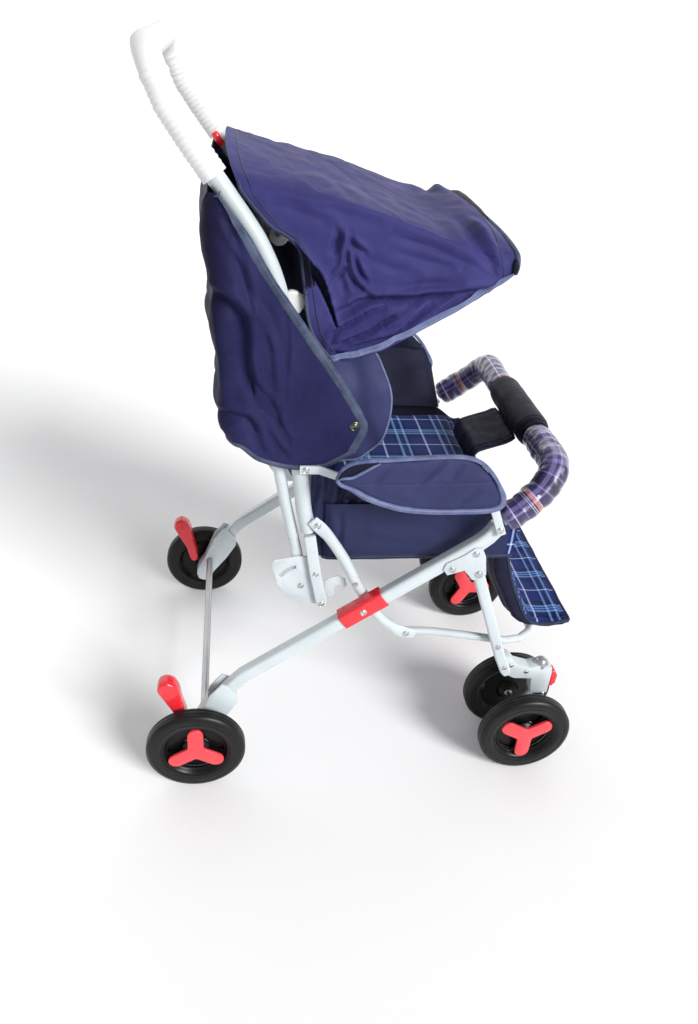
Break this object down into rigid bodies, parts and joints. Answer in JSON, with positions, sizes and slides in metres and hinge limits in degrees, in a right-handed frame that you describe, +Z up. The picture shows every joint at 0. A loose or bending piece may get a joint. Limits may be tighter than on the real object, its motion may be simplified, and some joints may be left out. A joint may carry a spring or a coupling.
{
  "type": "pram",
  "caption": "Folding pram with a U handle, reclining back, folding hood, padded bumper bar, arm pads, legrest and twin swivelling front wheels.",
  "frame": {"origin": "on the floor under the middle of the pram", "axes": "+X is the front where the child faces, +Y is the child's left, +Z is up"},
  "size_m": [0.687, 0.52, 1.0199],
  "materials": {
    "painted_frame": "satin silver white paint",
    "zinc_steel": "zinc plated",
    "white_plastic": "matte",
    "red_plastic": "gloss",
    "black_plastic": "gloss",
    "tyre": "smooth",
    "navy_fabric": "satin woven",
    "dark_fabric": "woven",
    "plaid_fabric": "woven plaid"
  },
  "bodies": {
    "chassis": {"diagonal_bar_right": "painted_frame", "diagonal_bar_left": "painted_frame", "pivot_sleeve_right": "red_plastic", "pivot_sleeve_left": "red_plastic", "rear_bracket_right": "painted_frame", "rear_bracket_left": "painted_frame", "front_gusset_right": "painted_frame", "front_gusset_left": "painted_frame", "rear_cross_tube": "zinc_steel", "bumper_tube": "painted_frame", "bumper_sleeve_right": "plaid_fabric", "bumper_sleeve_left": "plaid_fabric", "bumper_pad": "dark_fabric", "crotch_strap": "dark_fabric"},
    "handle": {"handle_tube": "painted_frame", "handle_grip": "white_plastic", "curved_tube_right": "painted_frame", "curved_tube_left": "painted_frame", "leg_channel_right": "painted_frame", "leg_channel_left": "painted_frame", "sector_plate_right": "painted_frame", "sector_plate_left": "painted_frame", "hood_hinge_right": "white_plastic", "hood_hinge_left": "white_plastic", "back_cover": "navy_fabric"},
    "backrest": {"recline_frame": "painted_frame", "backrest_pad": "dark_fabric"},
    "hood": {"hood_bow": "white_plastic", "canopy": "navy_fabric"},
    "armrests": {"arm_rail_right": "painted_frame", "arm_rail_left": "painted_frame", "arm_pad_right": "navy_fabric", "arm_pad_left": "navy_fabric"},
    "seat": {"seat_pad": "plaid_fabric", "seat_skirt": "navy_fabric"},
    "legrest": {"legrest_pad": "plaid_fabric"},
    "front_frame": {"front_leg_right": "painted_frame", "front_leg_left": "painted_frame", "caster_housing_right": "painted_frame", "caster_housing_left": "painted_frame"},
    "footrest": {"footrest_tube": "painted_frame"},
    "caster_right": {"caster_fork_right": "zinc_steel"},
    "caster_left": {"caster_fork_left": "zinc_steel"},
    "swivel_lever_right_body": {"swivel_lever_right": "red_plastic"},
    "swivel_lever_left_body": {"swivel_lever_left": "red_plastic"},
    "brake_pedal_right_body": {"brake_pedal_right": "red_plastic"},
    "brake_pedal_left_body": {"brake_pedal_left": "red_plastic"},
    "rear_wheel_right": {"rear_tyre_right": "tyre", "rear_hub_right": "black_plastic"},
    "front_wheel_outer_right": {"front_tyre_outer_right": "tyre", "front_hub_outer_right": "black_plastic"},
    "front_wheel_inner_right": {"front_tyre_inner_right": "tyre", "front_hub_inner_right": "black_plastic"},
    "rear_wheel_left": {"rear_tyre_left": "tyre", "rear_hub_left": "black_plastic"},
    "front_wheel_outer_left": {"front_tyre_outer_left": "tyre", "front_hub_outer_left": "black_plastic"},
    "front_wheel_inner_left": {"front_tyre_inner_left": "tyre", "front_hub_inner_left": "black_plastic"}
  },
  "joints": [
    {"name": "fold", "type": "hinge", "parent": "chassis", "child": "handle", "pos_m": [-0.024, 0, 0.3129], "axis": [0, 1, 0], "range_deg": [0, 60]},
    {"name": "front_frame_fold", "type": "hinge", "parent": "chassis", "child": "front_frame", "pos_m": [0.1385, 0, 0.3785], "axis": [0, 1, 0], "range_deg": [0, 37]},
    {"name": "footrest_fold", "type": "hinge", "parent": "front_frame", "child": "footrest", "pos_m": [0.1915, 0, 0.235], "axis": [0, 1, 0], "range_deg": [-54, 0]},
    {"name": "armrest_fold", "type": "hinge", "parent": "chassis", "child": "armrests", "pos_m": [0.156, 0, 0.455], "axis": [0, 1, 0], "range_deg": [-36, 0]},
    {"name": "seat_fold", "type": "hinge", "parent": "chassis", "child": "seat", "pos_m": [0.1715, 0, 0.447], "axis": [0, 1, 0], "range_deg": [-34, 0], "deforming": ["seat_skirt"]},
    {"name": "backrest_recline", "type": "hinge", "parent": "handle", "child": "backrest", "pos_m": [-0.1135, 0, 0.332], "axis": [0, 1, 0], "range_deg": [-30, 0], "deforming": ["back_cover"]},
    {"name": "hood_fold", "type": "hinge", "parent": "handle", "child": "hood", "pos_m": [-0.139, 0, 0.747], "axis": [0, 1, 0], "range_deg": [-95, 0], "deforming": ["canopy"]},
    {"name": "legrest_lift", "type": "hinge", "parent": "chassis", "child": "legrest", "pos_m": [0.1805, 0, 0.44], "axis": [0, 1, 0], "range_deg": [-40, 0]},
    {"name": "caster_swivel_right", "type": "hinge", "parent": "front_frame", "child": "caster_right", "pos_m": [0.2845, -0.195, 0.075], "axis": [0, 0, 1], "continuous": true},
    {"name": "swivel_lever_right_turn", "type": "hinge", "parent": "front_frame", "child": "swivel_lever_right_body", "pos_m": [0.3003, -0.195, 0.1662], "axis": [0, 1, 0], "range_deg": [-15, 0]},
    {"name": "brake_pedal_right_turn", "type": "hinge", "parent": "chassis", "child": "brake_pedal_right_body", "pos_m": [-0.285, -0.21875, 0.104], "axis": [0, 1, 0], "range_deg": [-20, 0]},
    {"name": "rear_wheel_right_spin", "type": "hinge", "parent": "chassis", "child": "rear_wheel_right", "pos_m": [-0.2685, -0.247, 0.075], "axis": [0, 1, 0], "continuous": true},
    {"name": "front_wheel_outer_right_spin", "type": "hinge", "parent": "caster_right", "child": "front_wheel_outer_right", "pos_m": [0.2565, -0.244, 0.075], "axis": [0, 1, 0], "continuous": true},
    {"name": "front_wheel_inner_right_spin", "type": "hinge", "parent": "caster_right", "child": "front_wheel_inner_right", "pos_m": [0.2565, -0.146, 0.075], "axis": [0, 1, 0], "continuous": true},
    {"name": "caster_swivel_left", "type": "hinge", "parent": "front_frame", "child": "caster_left", "pos_m": [0.2845, 0.195, 0.075], "axis": [0, 0, 1], "continuous": true},
    {"name": "swivel_lever_left_turn", "type": "hinge", "parent": "front_frame", "child": "swivel_lever_left_body", "pos_m": [0.3003, 0.195, 0.1662], "axis": [0, 1, 0], "range_deg": [-15, 0]},
    {"name": "brake_pedal_left_turn", "type": "hinge", "parent": "chassis", "child": "brake_pedal_left_body", "pos_m": [-0.285, 0.21875, 0.104], "axis": [0, 1, 0], "range_deg": [-20, 0]},
    {"name": "rear_wheel_left_spin", "type": "hinge", "parent": "chassis", "child": "rear_wheel_left", "pos_m": [-0.2685, 0.247, 0.075], "axis": [0, 1, 0], "continuous": true},
    {"name": "front_wheel_outer_left_spin", "type": "hinge", "parent": "caster_left", "child": "front_wheel_outer_left", "pos_m": [0.2565, 0.244, 0.075], "axis": [0, 1, 0], "continuous": true},
    {"name": "front_wheel_inner_left_spin", "type": "hinge", "parent": "caster_left", "child": "front_wheel_inner_left", "pos_m": [0.2565, 0.146, 0.075], "axis": [0, 1, 0], "continuous": true}
  ],
  "couplings": [
    {"joint": "front_frame_fold", "follows": "fold", "ratio": 0.605},
    {"joint": "footrest_fold", "follows": "fold", "ratio": -0.89},
    {"joint": "armrest_fold", "follows": "fold", "ratio": -0.583},
    {"joint": "seat_fold", "follows": "fold", "ratio": -0.55}
  ]
}
